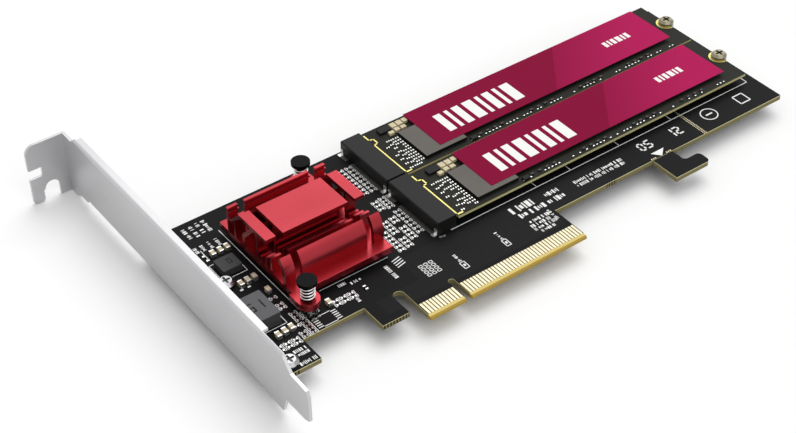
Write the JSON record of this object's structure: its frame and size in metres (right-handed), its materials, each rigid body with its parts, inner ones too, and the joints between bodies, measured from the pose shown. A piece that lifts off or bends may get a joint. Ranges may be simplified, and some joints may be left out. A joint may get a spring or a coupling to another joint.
{
  "type": "nvme adapter card",
  "caption": "Long expansion card with a full-height bracket, a slot edge connector, a finned heat sink held by sprung push pins, and two long storage modules in edge sockets.",
  "frame": {"origin": "middle of the edge connector's key notch, at the tongue's tip, on the board's underside", "axes": "+X along the board away from the bracket, +Y from the edge connector up the board, +Z out of the component side"},
  "size_m": [0.1931, 0.1201, 0.0209],
  "materials": {
    "board": "black solder mask on glass-fibre laminate",
    "gold": "thin gold plating",
    "bracket_steel": "nickel-plated sheet steel, satin",
    "screw_steel": "nickel-plated steel",
    "laminate": "chip laminate",
    "lid_metal": "plated lid",
    "thermal_pad": "soft heat-transfer pad",
    "anodised_aluminium": "red anodised, satin",
    "nylon": "black nylon",
    "spring_steel": "bright steel",
    "socket_plastic": "black glass-filled plastic",
    "contact_metal": "plated contact metal",
    "drive_board": "dark solder mask",
    "chip_epoxy": "moulded chip package",
    "label": "printed crimson label",
    "ferrite": "pressed ferrite powder, matt grey",
    "ceramic": "fired ceramic",
    "solder": "tinned ends"
  },
  "bodies": {
    "root": {"circuit_board": "board", "edge_contacts_front": "gold", "edge_contacts_back": "gold", "bracket": "bracket_steel", "bracket_screws": "screw_steel", "switch_chip_base": "laminate", "switch_chip_lid": "lid_metal", "thermal_pad": "thermal_pad", "heat_sink": "anodised_aluminium", "push_pins": "nylon", "push_pin_springs": "spring_steel", "drive_socket_lower": "socket_plastic", "drive_socket_upper": "socket_plastic", "socket_contacts_lower": "contact_metal", "socket_contacts_upper": "contact_metal", "drive_board_lower": "drive_board", "drive_board_upper": "drive_board", "drive_contacts_lower": "gold", "drive_contacts_upper": "gold", "drive_controller_lower": "chip_epoxy", "drive_controller_upper": "chip_epoxy", "drive_memory_lower": "chip_epoxy", "drive_memory_upper": "chip_epoxy", "drive_label_lower": "label", "drive_label_upper": "label", "socket_anchors": "contact_metal", "drive_power_chips": "chip_epoxy", "drive_capacitors": "ceramic", "standoffs": "spring_steel", "drive_screws": "screw_steel", "inductor_large": "ferrite", "inductor_small": "ferrite", "ceramic_capacitors": "ceramic", "chip_resistors": "chip_epoxy", "solder_caps": "solder", "regulator_chips": "chip_epoxy"}
  },
  "joints": []
}
